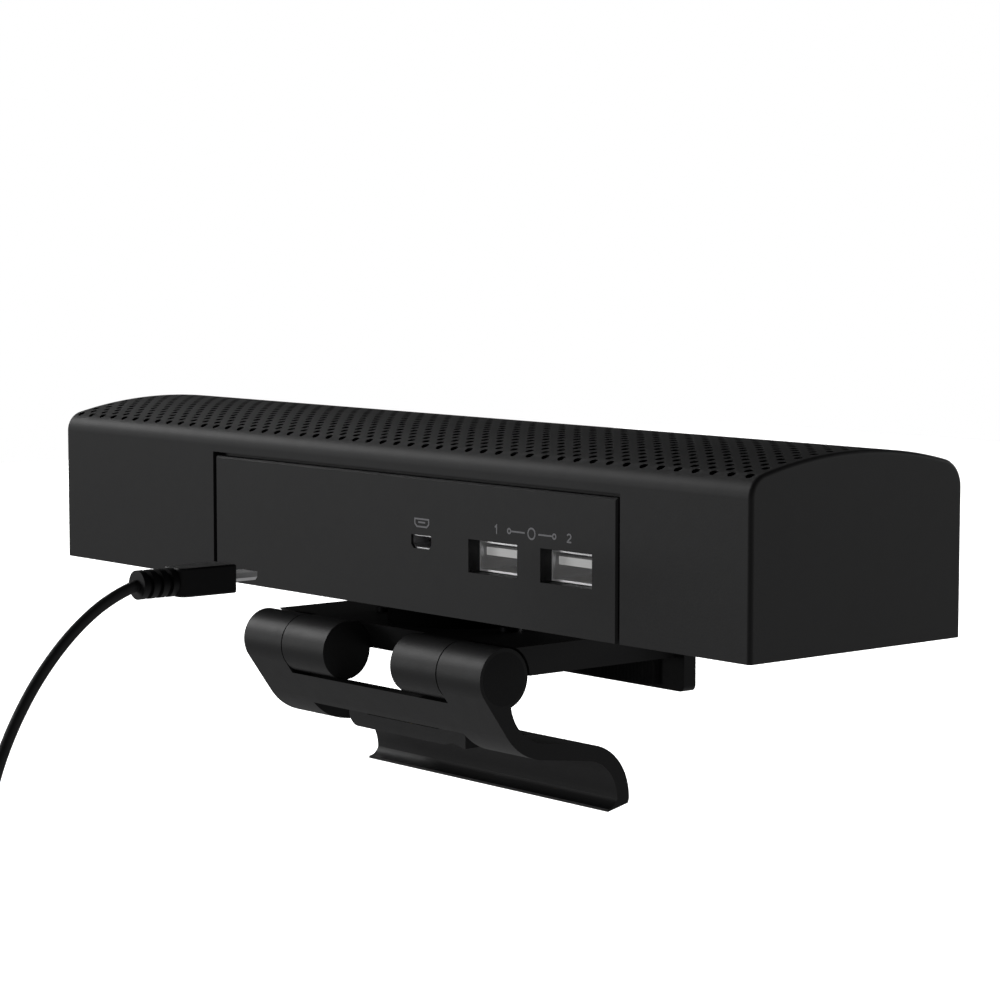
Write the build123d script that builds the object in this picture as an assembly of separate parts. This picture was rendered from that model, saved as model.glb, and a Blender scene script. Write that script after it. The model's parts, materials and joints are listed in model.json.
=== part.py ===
from build123d import *
import math
import os

# Webcam and speaker bar on a folding monitor clamp, with a two-port hub at its back.
# Millimetres. X runs along the bar, -Y is the side with the lens, +Y the side with the ports.
# The origin is on the clamp pad's underside, over the middle of the monitor's top edge.

# ---------------------------------------------------------------- driving dimensions
bar_length = 205.0
bar_depth = 50.9
bar_rear_y = 39.5
bar_front_y = bar_rear_y - bar_depth
bar_mid_y = (bar_rear_y + bar_front_y) / 2
bar_bottom_z = 11.0
bar_top_z = 44.4
wall = 2.0
dome_radius = 92.0
rear_top_radius = 4.0
front_top_radius = 5.0
rim_radius = 0.8
fit_gap = 0.2
boss_radius = 3.2
boss_top_z = 30.0
cover_screw_radius = 1.4
cover_screw_spots = [(x, y) for x in (-92.0, 92.0) for y in (-2.0, 31.0)]

# clamp plate, its hooked lip and the hinge behind it
pad_proud = 0.4
plate_bottom_z = pad_proud
plate_top_z = plate_bottom_z + 5.4
plate_half_width = 36.2
plate_front_y = -7.0
plate_screw_spots = [(18.8, 18.6), (-18.8, 18.6)]
pad_half = (29.8, 4.3)
pad_sunk = 0.6
lip_half_width = 38.9
lip_thick = 3.0
lip_bottom_z = -6.0
hinge_y = 35.0
hinge_z = 0.4
knuckle_radius = 5.6
plate_relief = 6.1
leg_relief = 6.3
knuckle_inner_x = 10.3
knuckle_seam_x = 23.6
knuckle_end_gap = 0.3
pin_radius = 2.0
pin_clearance = 0.05
pin_inner_x = 11.8
pin_outer_x = 35.0
cap_radius = 4.9
cap_thick = 0.8

# folding leg: heel, belly arc, trough and foot arc, one wall thickness throughout
leg_thick = 3.0
belly_center = (24.5, -3.5)
belly_radius = 10.4
foot_center = (15.4, -24.8)
foot_radius = 9.5
toe_front = (4.7, -25.9)
toe_rear = (9.7, -27.0)
foot_pad_thick = 0.8
foot_pad_angles = (150.0, 182.0)
window_half_width = 23.0
window_top_z = -11.4
window_front_y = 17.5

# tripod block in the leg's window
block_half_width = 18.7
block_left_end = 16.8
block_rear_y = 29.5
block_top_z = -11.5
block_bottom_z = -15.3
block_step_z = -12.6
block_step_half_width = 11.0
thread_y = 23.0
thread_radius = 3.175
insert_radius = 4.5

# swivel between the plate and the bar
hub_radius = 15.0
spindle_radius = 5.95
bore_clearance = 0.05
washer_radius = 9.0
washer_thick = 0.9
recess_radius = 9.3
recess_depth = 2.6
axial_gap = 0.1
screw_radius = 2.0

# rear hub panel
panel_left_x = 47.1
panel_right_x = -70.8
panel_top_z = 35.7
panel_groove = 0.8
panel_thick = 3.2
flange_lap = 2.0
usb_x = (-38.35, -57.9)
usb_z = 22.6
usb_mouth = (13.4, 6.0)
usb_shell = (13.2, 13.5, 5.5)
usb_shell_z = 22.5
usb_shell_wall = 0.35
usb_front_y = bar_rear_y - 2.6
tongue_set_back = 0.95
micro_x = -18.2
micro_z = 23.9
micro_shell = (5.8, 8.0, 2.5)
micro_shell_wall = 0.2
micro_corner = 0.7
micro_set_back = 0.5
board_thick = 1.6

# front panel, lens, shutter and lights
front_half = 98.3
front_low_z = 13.7
front_high_z = 32.7
front_flange = 1.2
lens_z = (front_low_z + front_high_z) / 2
lens_ring_radius = 7.2
lens_barrel_radius = 6.2
lens_barrel_bore = 5.0
recess_half_width = 30.0
recess_mouth = (0.7, 15.6)
recess_inner = (0.9, 16.8)
shutter_travel = 17.0
shutter_width = 17.0
shutter_side_gap = 0.3
light_x = 66.0
light_size = (44.0, 6.5)
led_count = 8
status_x = -36.0

# speakers under the perforated top
speaker_x = 70.0
speaker_radius = 17.0
baffle_z = 37.6
baffle_thick = 1.2

# loose cable: plug drawn straight out of its port, cord, coil and far plug
plug_travel = 41.9
plug_rise = 3.23
plug_slack = 0.18
plug_x = micro_x
plug_z = micro_z + plug_slack - plug_rise
plug_front_y = bar_rear_y + 1.2 + plug_travel
plug_body = (6.2, 11.2, 5.0)
plug_shell = (4.3, 5.1, 1.5)
plug_shell_wall = 0.2
plug_shell_corner = 0.6
relief_radius = 2.5
relief_core = 1.8
relief_rings = 4
relief_ring = 1.15
relief_pitch = 1.95
cord_diameter = 2.0
cord_step = 2.07
coil_mean_radius = 10.8
coil_layers = 5
coil_columns = 4
coil_z = -85.0
tail_end_z = -112.0
usb_plug_body = (15.6, 7.6, 25.0)
usb_plug_shell = (12.0, 4.5, 12.0)

relief_start_y = plug_front_y + plug_body[1]
cord_start_y = relief_start_y + relief_ring + (relief_rings - 1) * relief_pitch
lead_y = 133.0
coil_outer_turn = coil_mean_radius + cord_step * (coil_layers - 1) / 2
coil_x = plug_x - coil_outer_turn
coil_y = lead_y + cord_step * (coil_columns - 1) / 2
tail_y = lead_y + cord_step * (coil_columns - 1)

# the hanging lead, from the strain relief down to the coil, and the tail below the coil
lead_route = [
    (plug_x, cord_start_y, plug_z),
    (plug_x, 105.7, 19.4),
    (plug_x, 113.1, 14.5),
    (plug_x, 119.5, 7.9),
    (plug_x, 124.3, 0.9),
    (plug_x, 128.2, -7.0),
    (plug_x, 131.0, -16.5),
    (plug_x, 132.6, -28.5),
    (plug_x - 0.15, 133.1, -42.0),
    (plug_x + 0.1, 133.0, -56.5),
    (plug_x - 0.1, 133.0, -71.5),
    (plug_x, lead_y, coil_z),
]
tail_route = [
    (plug_x, tail_y, coil_z),
    (plug_x + 0.1, tail_y + 0.1, -94.5),
    (plug_x - 0.1, tail_y - 0.1, -103.5),
    (plug_x, tail_y, tail_end_z),
]


# ---------------------------------------------------------------- helpers
def block(x0, x1, y0, y1, z0, z1):
    size = (abs(x1 - x0), abs(y1 - y0), abs(z1 - z0))
    return Pos((x0 + x1) / 2, (y0 + y1) / 2, (z0 + z1) / 2) * Box(*size)


def slab(x, half, y0, y1, z, high):
    return block(x - half, x + half, y0, y1, z - high, z + high)


def rod_x(x0, x1, radius):
    """Round bar along X on the hinge's axis."""
    middle = Pos((x0 + x1) / 2, hinge_y, hinge_z)
    return middle * Rot(0, 90, 0) * Cylinder(radius, abs(x1 - x0))


def rod_y(x, y0, y1, z, radius):
    return Pos(x, (y0 + y1) / 2, z) * Rot(90, 0, 0) * Cylinder(radius, abs(y1 - y0))


def rod_z(x, y, z0, z1, radius):
    return Pos(x, y, (z0 + z1) / 2) * Cylinder(radius, abs(z1 - z0))


def prism_x(edges, half_length):
    return extrude(Plane.YZ * make_face(edges), amount=half_length, both=True)


def polar(center, radius, angle):
    turn = math.radians(angle)
    return (center[0] + radius * math.cos(turn), center[1] + radius * math.sin(turn))


def save(node, shape):
    export_step(shape, f"parts/{node}.step")


# ---------------------------------------------------------------- bar
def bar_section(inset):
    """Edges of the bar's end view, or of its hollow when inset by the wall."""
    front = bar_front_y + inset
    rear = bar_rear_y - inset
    apex = bar_top_z - inset
    radius = dome_radius - inset
    edge = apex - radius + math.sqrt(radius ** 2 - ((rear - front) / 2) ** 2)
    face = make_face([
        Line((front, bar_bottom_z), (rear, bar_bottom_z)),
        Line((rear, bar_bottom_z), (rear, edge)),
        ThreePointArc((rear, edge), (bar_mid_y, apex), (front, edge)),
        Line((front, edge), (front, bar_bottom_z)),
    ])
    rear_corner = face.vertices().sort_by_distance((rear, edge, 0))[0]
    face = fillet(rear_corner, rear_top_radius - inset)
    front_corner = face.vertices().sort_by_distance((front, edge, 0))[0]
    return fillet(front_corner, front_top_radius - inset).edges()


def cover_boss(x, y):
    reach = math.copysign(bar_length / 2 - wall / 2, x)
    column = rod_z(x, y, bar_bottom_z + wall, boss_top_z, boss_radius)
    web = block(x, reach, y - 1.2, y + 1.2, bar_bottom_z + wall, boss_top_z)
    return column + web - rod_z(x, y, bar_bottom_z, bar_bottom_z + 8.0, cover_screw_radius)


def housing():
    half = bar_length / 2
    shell = prism_x(bar_section(0), half)
    ends = shell.faces().sort_by(Axis.X)
    rims = [e for f in (ends[0], ends[-1]) for e in f.edges() if e.center().Z > bar_bottom_z + 0.1]
    shell = fillet(rims, rim_radius)
    shell = shell - prism_x(bar_section(wall), half - wall)
    shell = shell - block(panel_right_x - panel_groove, panel_left_x + panel_groove,
                          bar_rear_y - wall - 1, bar_rear_y + 1,
                          bar_bottom_z - 1, panel_top_z + panel_groove)
    window = front_half + fit_gap
    shell = shell - block(-window, window, bar_front_y - 1, bar_front_y + wall + 1,
                          front_low_z - fit_gap, front_high_z + fit_gap)
    for x, y in cover_screw_spots:
        shell = shell + cover_boss(x, y)
    return shell


def bottom_cover():
    half = bar_length / 2 - wall - fit_gap
    plate = block(-half, half, bar_front_y + wall + fit_gap,
                  bar_rear_y - panel_thick - fit_gap, bar_bottom_z, bar_bottom_z + wall)
    for x, y in cover_screw_spots:
        plate = plate - rod_z(x, y, bar_bottom_z - 1, bar_bottom_z + 4, cover_screw_radius + 0.1)
        plate = plate - rod_z(x, y, bar_bottom_z - 1, bar_bottom_z + 1.0, 2.8)
    return plate - rod_z(0, bar_mid_y, bar_bottom_z - 1, bar_bottom_z + 4, screw_radius + 0.1)


def cover_screw(x, y):
    head = rod_z(x, y, bar_bottom_z + 0.1, bar_bottom_z + 1.0, 2.6)
    slot = block(x - 1.6, x + 1.6, y - 0.3, y + 0.3, bar_bottom_z, bar_bottom_z + 0.5)
    return head - slot + rod_z(x, y, bar_bottom_z + 1.0, bar_bottom_z + 7.0, cover_screw_radius)


def rear_panel():
    back = bar_rear_y - panel_thick
    plate = block(panel_right_x, panel_left_x, back, bar_rear_y, bar_bottom_z, panel_top_z)
    face = plate.faces().sort_by(Axis.Y)[-1]
    rims = [e for e in face.edges() if e.center().Z > bar_bottom_z + 0.1]
    plate = chamfer(rims, 0.35)
    plate = plate + block(panel_right_x - flange_lap, panel_left_x + flange_lap, back,
                          bar_rear_y - wall, bar_bottom_z + wall + fit_gap, panel_top_z + 1.3)
    for x in usb_x:
        plate = plate - slab(x, usb_mouth[0] / 2, back - 1, bar_rear_y + 1,
                             usb_z, usb_mouth[1] / 2)
    return plate - micro_outline(0, back - 1, bar_rear_y + 1)


def d_solid(x, z, half, high, corner, y0, y1):
    """Solid along Y with the small plug's outline: level top, lower corners cut away."""
    points = [(-half, high), (half, high), (half, corner - high), (half - corner, -high),
              (corner - half, -high), (-half, corner - high)]
    face = Plane.XZ * make_face(Polyline(*points, close=True))
    return Pos(x, (y0 + y1) / 2, z) * extrude(face, amount=(y1 - y0) / 2, both=True)


def micro_outline(grow, y0, y1):
    return d_solid(micro_x, micro_z, micro_shell[0] / 2 + grow, micro_shell[2] / 2 + grow,
                   micro_corner, y0, y1)


def micro_socket_shell():
    y1 = bar_rear_y - micro_set_back
    y0 = y1 - micro_shell[1]
    return micro_outline(0, y0, y1) - micro_outline(-micro_shell_wall, y0 + 0.4, y1 + 1)


def micro_socket_tongue():
    y0 = bar_rear_y - micro_set_back - micro_shell[1] + 0.4
    return slab(micro_x, 1.4, y0, y0 + 5.0, micro_z + 0.08, 0.2)


def usb_socket_shell(x):
    width, depth, height = usb_shell
    y1 = usb_front_y
    thin = usb_shell_wall
    outer = slab(x, width / 2, y1 - depth, y1, usb_shell_z, height / 2)
    return outer - slab(x, width / 2 - thin, y1 - depth + thin, y1 + 1, usb_shell_z, height / 2 - thin)


def usb_socket_tongue(x):
    y0 = usb_front_y - usb_shell[1] + usb_shell_wall
    tongue = block(x - 5.8, x + 5.8, y0, usb_front_y - tongue_set_back, usb_z, usb_z + 1.45)
    return tongue + block(x - 5.9, x + 5.9, y0, y0 + 1.5, usb_shell_z - 2.2, usb_shell_z + 2.2)


hub_board_top = usb_shell_z - usb_shell[2] / 2
hub_post_spots = [(-71.0, 18.0), (-31.0, 18.0)]
board_rear_y = bar_rear_y - panel_thick - 0.3


def hub_board():
    board = block(-74.0, -28.0, 15.0, board_rear_y, hub_board_top - board_thick, hub_board_top)
    for x, y in hub_post_spots:
        board = board - rod_z(x, y, hub_board_top - 3, hub_board_top + 1, 1.6)
    return board


def hub_post(x, y):
    return rod_z(x, y, bar_bottom_z + wall, hub_board_top - board_thick, 2.6)


def input_board():
    top = micro_z - micro_shell[2] / 2
    board = block(-26.0, -11.0, 20.0, board_rear_y, top - board_thick, top)
    return board + block(-20.0, -16.0, 20.0, 24.0, bar_bottom_z + wall, top - board_thick)


def main_board():
    floor = bar_bottom_z + wall
    board = block(-40.0, 40.0, 6.5, 12.0, floor + 1.2, floor + 1.2 + board_thick)
    for x in (-36.0, 36.0):
        board = board + rod_z(x, 9.2, floor, floor + 1.2, 2.0)
    return board


recess_floor_y = bar_front_y + recess_mouth[0] + recess_inner[0]
front_back_y = bar_front_y + wall
front_flange_y = front_back_y + front_flange


def light_block(side, grow, y0, y1):
    return slab(side * light_x, light_size[0] / 2 + grow, y0, y1, lens_z, light_size[1] / 2 + grow)


def front_panel():
    plate = block(-front_half, front_half, bar_front_y, front_back_y, front_low_z, front_high_z)
    plate = plate + block(-front_half - 1.6, front_half + 1.6, front_back_y, front_flange_y,
                          front_low_z - 0.4, front_high_z + 1.1)
    mouth_y = bar_front_y + recess_mouth[0]
    plate = plate - slab(0, recess_half_width, bar_front_y - 1, mouth_y,
                         lens_z, recess_mouth[1] / 2)
    plate = plate - slab(0, recess_half_width, mouth_y, recess_floor_y,
                         lens_z, recess_inner[1] / 2)
    plate = plate - rod_y(0, bar_front_y - 1, front_flange_y + 1, lens_z, lens_ring_radius)
    plate = plate - rod_y(status_x, bar_front_y - 1, front_flange_y + 1, lens_z, 1.0)
    for side in (1, -1):
        plate = plate - light_block(side, 0, bar_front_y - 1, front_flange_y + 1)
    return plate


def light_window(side):
    lens = light_block(side, -0.05, bar_front_y + 0.1, front_flange_y)
    return lens + light_block(side, 1.2, front_flange_y, front_flange_y + 0.8)


def light_board(side):
    back = front_flange_y + 0.8
    board = light_block(side, 2.0, back + 0.6, back + 1.8)
    for k in range(led_count):
        x = side * light_x + (k - (led_count - 1) / 2) * light_size[0] / led_count
        board = board + slab(x, 1.4, back, back + 0.6, lens_z, 1.4)
    return board


def status_light():
    return rod_y(status_x, bar_front_y + 0.05, front_flange_y + 3, lens_z, 1.0)


def lens_ring():
    ring = rod_y(0, recess_floor_y, recess_floor_y + 4.0, lens_z, lens_ring_radius)
    return ring - rod_y(0, recess_floor_y - 1, recess_floor_y + 6, lens_z, lens_barrel_radius)


def lens_barrel():
    front = recess_floor_y + 0.6
    barrel = rod_y(0, front, front + 12.0, lens_z, lens_barrel_radius)
    return barrel - rod_y(0, front - 1, front + 11.0, lens_z, lens_barrel_bore)


def lens_glass():
    front = recess_floor_y + 1.0
    disc = rod_y(0, front, front + 1.8, lens_z, lens_barrel_bore)
    return fillet(disc.edges().sort_by(Axis.Y)[0], 1.2)


def camera_board():
    front = recess_floor_y + 12.6
    return block(-19.0, 19.0, front, front + board_thick, bar_bottom_z + wall, front_high_z + 1)


def shutter():
    x = shutter_travel
    front = bar_front_y + 0.3
    step = bar_front_y + recess_mouth[0] + 0.12
    back = recess_floor_y - 0.1
    high = recess_mouth[1] / 2 - shutter_side_gap
    plate = slab(x, shutter_width / 2, front, step, lens_z, high)
    plate = plate + slab(x, shutter_width / 2, step, back, lens_z, high + 0.6)
    for k in (-1, 0, 1):
        plate = plate + slab(x + k * 1.6, 0.4, bar_front_y, front, lens_z, 4.0)
    return plate


def speaker_baffle(side):
    outer = bar_length / 2 - wall
    plate = block(side * 46.0, side * outer, -3.0, 33.0, baffle_z, baffle_z + baffle_thick)
    return plate - rod_z(side * speaker_x, bar_mid_y, baffle_z - 1, baffle_z + 3,
                         speaker_radius - 2.0)


def speaker_frame(side):
    spot = Pos(side * speaker_x, bar_mid_y, 0)
    ring = Pos(0, 0, baffle_z - 1.0) * Cylinder(speaker_radius, 2.0)
    basket = Pos(0, 0, baffle_z - 5.0) * Cone(10.0, speaker_radius, 6.0)
    hollow = Pos(0, 0, baffle_z - 4.0) * Cone(9.0, speaker_radius - 1.5, 6.2)
    frame = ring + basket - hollow - Pos(0, 0, baffle_z) * Cylinder(speaker_radius - 1.5, 3.0)
    return spot * (frame - Pos(0, 0, baffle_z - 8.0) * Cylinder(8.0, 4.0))


def speaker_cone(side):
    spot = Pos(side * speaker_x, bar_mid_y, 0)
    outer = Pos(0, 0, baffle_z - 2.8) * Cone(7.6, speaker_radius - 2.2, 3.6)
    inner = Pos(0, 0, baffle_z - 2.3) * Cone(7.0, speaker_radius - 2.6, 3.6)
    cap = Pos(0, 0, baffle_z - 4.2) * Cylinder(7.3, 0.8)
    rim = Pos(0, 0, baffle_z - 1.0) * Cylinder(speaker_radius - 1.5, 0.6)
    rim = rim - Pos(0, 0, baffle_z - 1.0) * Cylinder(speaker_radius - 3.0, 2.0)
    return spot * (outer - inner + cap + rim)


def speaker_magnet(side):
    return rod_z(side * speaker_x, bar_mid_y, baffle_z - 11.2, baffle_z - 8.0, 9.5)


swivel_foot_z = plate_bottom_z + recess_depth - axial_gap


def swivel_hub():
    hub = rod_z(0, bar_mid_y, plate_top_z + axial_gap, bar_bottom_z, hub_radius)
    hub = hub + rod_z(0, bar_mid_y, swivel_foot_z, plate_top_z + 1, spindle_radius)
    return hub - rod_z(0, bar_mid_y, swivel_foot_z - 1, bar_bottom_z + 1, screw_radius)


def swivel_washer():
    washer = rod_z(0, bar_mid_y, swivel_foot_z - washer_thick, swivel_foot_z, washer_radius)
    return washer - rod_z(0, bar_mid_y, 0, swivel_foot_z + 1, screw_radius)


def swivel_screw():
    top = swivel_foot_z - washer_thick
    head = rod_z(0, bar_mid_y, top - 1.2, top, 4.0)
    head = head - block(-2.6, 2.6, bar_mid_y - 0.45, bar_mid_y + 0.45, top - 2, top - 0.6)
    return head + rod_z(0, bar_mid_y, top, bar_bottom_z + wall, screw_radius)


# ---------------------------------------------------------------- clamp plate
def clamp_plate():
    edge_y = hinge_y - math.sqrt(plate_relief ** 2 - (plate_top_z - hinge_z) ** 2)
    plate = block(-plate_half_width, plate_half_width, plate_front_y, edge_y,
                  plate_bottom_z, plate_top_z)
    plate = plate - rod_x(-50, 50, plate_relief)
    for side in (1, -1):
        inner = side * knuckle_inner_x
        outer = side * knuckle_seam_x
        web = block(inner, outer, hinge_y - 8, hinge_y, hinge_z, plate_top_z)
        plate = plate + web + rod_x(inner, outer, knuckle_radius)
        bore_end = side * (pin_inner_x - knuckle_end_gap)
        plate = plate - rod_x(bore_end, outer + side, pin_radius + pin_clearance)
    plate = plate - rod_z(0, bar_mid_y, plate_bottom_z - 1, plate_top_z + 1,
                          spindle_radius + bore_clearance)
    plate = plate - rod_z(0, bar_mid_y, plate_bottom_z - 1, plate_bottom_z + recess_depth,
                          recess_radius)
    plate = plate - block(-pad_half[0], pad_half[0], -pad_half[1], pad_half[1],
                          plate_bottom_z - 1, plate_bottom_z + pad_sunk)
    for x, y in plate_screw_spots:
        plate = plate - rod_z(x, y, plate_bottom_z + 1, plate_top_z + 1, 1.25)
    return plate


def plate_screw(x, y):
    head = rod_z(x, y, plate_top_z, plate_top_z + 0.8, 2.0)
    slot = block(x - 1.4, x + 1.4, y - 0.3, y + 0.3, plate_top_z + 0.4, plate_top_z + 2)
    return head - slot + rod_z(x, y, plate_bottom_z + 1, plate_top_z, 1.25)


def plate_pad():
    return block(-pad_half[0], pad_half[0], -pad_half[1], pad_half[1],
                 0, plate_bottom_z + pad_sunk)


def front_lip():
    lip = block(-lip_half_width, lip_half_width, plate_front_y - lip_thick, plate_front_y,
                lip_bottom_z, plate_top_z)
    return fillet(lip.edges().filter_by(Axis.Y), 1.2)


def lip_pad():
    return block(-32, 32, plate_front_y, plate_front_y + 1.2, lip_bottom_z + 0.8, -0.4)


# ---------------------------------------------------------------- folding leg
def leg_section():
    """Closed outline of the leg's end view, rear side first, then the toe, then the front side."""
    rise = belly_center[1] - foot_center[1]
    run = belly_center[0] - foot_center[0]
    lean = math.degrees(math.acos((belly_radius + foot_radius) / math.hypot(run, rise)))
    normal = math.degrees(math.atan2(rise, run)) + lean
    low = normal - 180
    half = leg_thick / 2
    rear_belly = belly_radius + half
    front_belly = belly_radius - half
    rear_foot = foot_radius - half
    front_foot = foot_radius + half
    barrel = (hinge_y, hinge_z)
    to_barrel = (hinge_y - belly_center[0], hinge_z - belly_center[1])
    spread = math.degrees(math.acos((rear_belly - knuckle_radius) / math.hypot(*to_barrel)))
    heel_angle = math.degrees(math.atan2(to_barrel[1], to_barrel[0])) - spread
    heel = polar(belly_center, rear_belly, heel_angle)
    heel_top = polar(barrel, knuckle_radius, heel_angle)
    core = (hinge_y - 1.6, hinge_z - 2.9)
    toe_in = polar(foot_center, rear_foot, 180)
    toe_step = (toe_rear[0], toe_rear[1] + 0.5)
    return [
        Line(core, heel_top),
        Line(heel_top, heel),
        ThreePointArc(heel, polar(belly_center, rear_belly, (heel_angle + low) / 2),
                      polar(belly_center, rear_belly, low)),
        Line(polar(belly_center, rear_belly, low), polar(foot_center, rear_foot, normal)),
        ThreePointArc(polar(foot_center, rear_foot, normal),
                      polar(foot_center, rear_foot, (normal + 180) / 2), toe_in),
        ThreePointArc(toe_in, (8.1, -25.9), toe_step),
        Line(toe_step, toe_rear),
        Line(toe_rear, toe_front),
        Line(toe_front, polar(foot_center, front_foot, 182)),
        ThreePointArc(polar(foot_center, front_foot, 182),
                      polar(foot_center, front_foot, (normal + 182) / 2),
                      polar(foot_center, front_foot, normal)),
        Line(polar(foot_center, front_foot, normal), polar(belly_center, front_belly, low)),
        ThreePointArc(polar(belly_center, front_belly, low),
                      polar(belly_center, front_belly, (low - 12) / 2),
                      polar(belly_center, front_belly, -12)),
        Line(polar(belly_center, front_belly, -12), core),
    ]


def foot_strip(half_width):
    """The band of the foot's outer curve that the pad fills."""
    a0, a1 = foot_pad_angles
    outer = foot_radius + leg_thick / 2
    inner = outer - foot_pad_thick
    edges = [
        ThreePointArc(polar(foot_center, outer, a0), polar(foot_center, outer, (a0 + a1) / 2),
                      polar(foot_center, outer, a1)),
        Line(polar(foot_center, outer, a1), polar(foot_center, inner, a1)),
        ThreePointArc(polar(foot_center, inner, a1), polar(foot_center, inner, (a0 + a1) / 2),
                      polar(foot_center, inner, a0)),
        Line(polar(foot_center, inner, a0), polar(foot_center, outer, a0)),
    ]
    return prism_x(edges, half_width)


def clamp_leg():
    leg = prism_x(leg_section(), plate_half_width)
    seam = knuckle_seam_x + knuckle_end_gap
    leg = leg - rod_x(-seam, seam, leg_relief)
    for side in (1, -1):
        leg = leg + rod_x(side * seam, side * plate_half_width, knuckle_radius)
        leg = leg - rod_x(side * seam, side * (plate_half_width + 1), pin_radius)
        leg = leg - rod_x(side * (plate_half_width - cap_thick),
                          side * (plate_half_width + 1), cap_radius)
    leg = leg - block(-window_half_width, window_half_width, window_front_y, hinge_y + 5,
                      lip_bottom_z - 30, window_top_z)
    return leg - foot_strip(32.0)


def leg_cap(side):
    return rod_x(side * (plate_half_width - cap_thick), side * plate_half_width, cap_radius)


def hinge_pin(side):
    return rod_x(side * pin_inner_x, side * pin_outer_x, pin_radius)


def tripod_block():
    body = block(-block_half_width, block_left_end, window_front_y, block_rear_y,
                 block_bottom_z, block_top_z)
    body = fillet(body.edges().filter_by(Axis.Y).group_by(Axis.Z)[0].sort_by(Axis.X)[-1], 2.8)
    body = body - block(-block_step_half_width, block_step_half_width, block_rear_y - 2.1,
                        block_rear_y + 1, block_step_z, block_top_z + 1)
    notch = Polyline((-12.2, block_bottom_z - 0.01), (-18.2, block_bottom_z - 0.01),
                     (-15.2, block_bottom_z + 0.6), close=True)
    face = Plane.XZ * make_face(notch)
    body = body - Pos(0, block_rear_y, 0) * extrude(face, amount=3, both=True)
    return body - rod_z(0, thread_y, block_bottom_z - 1, block_top_z + 1, insert_radius)


def thread_insert():
    insert = rod_z(0, thread_y, block_bottom_z, block_top_z, insert_radius)
    return insert - rod_z(0, thread_y, block_bottom_z - 1, block_top_z + 1, thread_radius)


# ---------------------------------------------------------------- cable
def plug_shell_solid():
    half = plug_shell[0] / 2
    high = plug_shell[2] / 2
    thin = plug_shell_wall
    tip = plug_front_y - plug_shell[1]
    outer = d_solid(plug_x, plug_z, half, high, plug_shell_corner, tip, plug_front_y)
    return outer - d_solid(plug_x, plug_z, half - thin, high - thin, plug_shell_corner - 0.1,
                           tip - 1, plug_front_y - 0.5)


def plug_body_solid():
    body = slab(plug_x, plug_body[0] / 2, plug_front_y, relief_start_y, plug_z, plug_body[2] / 2)
    rear_corners = body.edges().filter_by(Axis.Z).group_by(Axis.Y)[-1]
    body = fillet(rear_corners, 1.5)
    return fillet(body.faces().sort_by(Axis.Z)[-1].edges() + body.faces().sort_by(Axis.Z)[0].edges(), 0.35)


def strain_relief():
    relief = rod_y(plug_x, relief_start_y, cord_start_y, plug_z, relief_core)
    for k in range(relief_rings):
        start = relief_start_y + k * relief_pitch
        relief = relief + rod_y(plug_x, start, start + relief_ring, plug_z, relief_radius)
    return relief


def route_radii(route):
    radii = []
    for before, corner, after in zip(route, route[1:], route[2:]):
        first = Vector(*corner) - Vector(*before)
        second = Vector(*after) - Vector(*corner)
        half_turn = math.radians(first.get_angle(second)) / 2
        radii.append(0.45 * min(first.length, second.length) / math.tan(half_turn))
    return radii


def tube(route, name):
    radii = route_radii(route)
    path = FilletPolyline(*route, radius=radii)
    section = Plane(origin=route[0], z_dir=path % 0) * Circle(cord_diameter / 2)
    solid = sweep(section, path=path)
    expected = path.length * math.pi * cord_diameter ** 2 / 4
    print(name, "smallest radius", round(min(radii), 1), "radii", [round(r) for r in radii])
    print(name, "length", round(path.length, 1), "volume", round(solid.volume, 2),
          "expected", round(expected, 2))
    return solid, path.length


def coil_ring(grow):
    half_depth = coil_y - lead_y + cord_diameter / 2 + grow
    outer = coil_outer_turn + cord_diameter / 2 + grow
    inner = 2 * coil_mean_radius - outer
    ring = rod_y(coil_x, coil_y - half_depth, coil_y + half_depth, coil_z, outer)
    return ring - rod_y(coil_x, coil_y - half_depth - 1, coil_y + half_depth + 1, coil_z, inner)


def cable_tie():
    reach = coil_outer_turn + 5
    keep = block(coil_x - reach, coil_x, coil_y - 12, coil_y + 12, coil_z - 2.5, coil_z + 2.5)
    return (coil_ring(0.8) & keep) - coil_ring(0)


def usb_plug_body_solid():
    high = usb_plug_body[2] / 2
    body = slab(plug_x, usb_plug_body[0] / 2, tail_y - usb_plug_body[1] / 2,
                tail_y + usb_plug_body[1] / 2, tail_end_z - high, high)
    return fillet(body.edges().filter_by(Axis.Z), 1.5)


def usb_plug_shell_solid():
    top = tail_end_z - usb_plug_body[2]
    width, height, depth = usb_plug_shell
    outer = block(plug_x - width / 2, plug_x + width / 2, tail_y - height / 2,
                  tail_y + height / 2, top - depth, top)
    return outer - block(plug_x - width / 2 + 0.3, plug_x + width / 2 - 0.3,
                         tail_y - height / 2 + 0.3, tail_y + height / 2 - 0.3,
                         top - depth - 1, top - 0.5)


# ---------------------------------------------------------------- write every node
os.makedirs("parts", exist_ok=True)

save("clamp_plate", clamp_plate())
save("plate_pad", plate_pad())
save("front_lip", front_lip())
save("lip_pad", lip_pad())
save("plate_screws", Compound(children=[plate_screw(x, y) for x, y in plate_screw_spots]))

save("clamp_leg", clamp_leg())
save("foot_pad", foot_strip(32.0))
save("tripod_block", tripod_block())
save("thread_insert", thread_insert())

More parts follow.
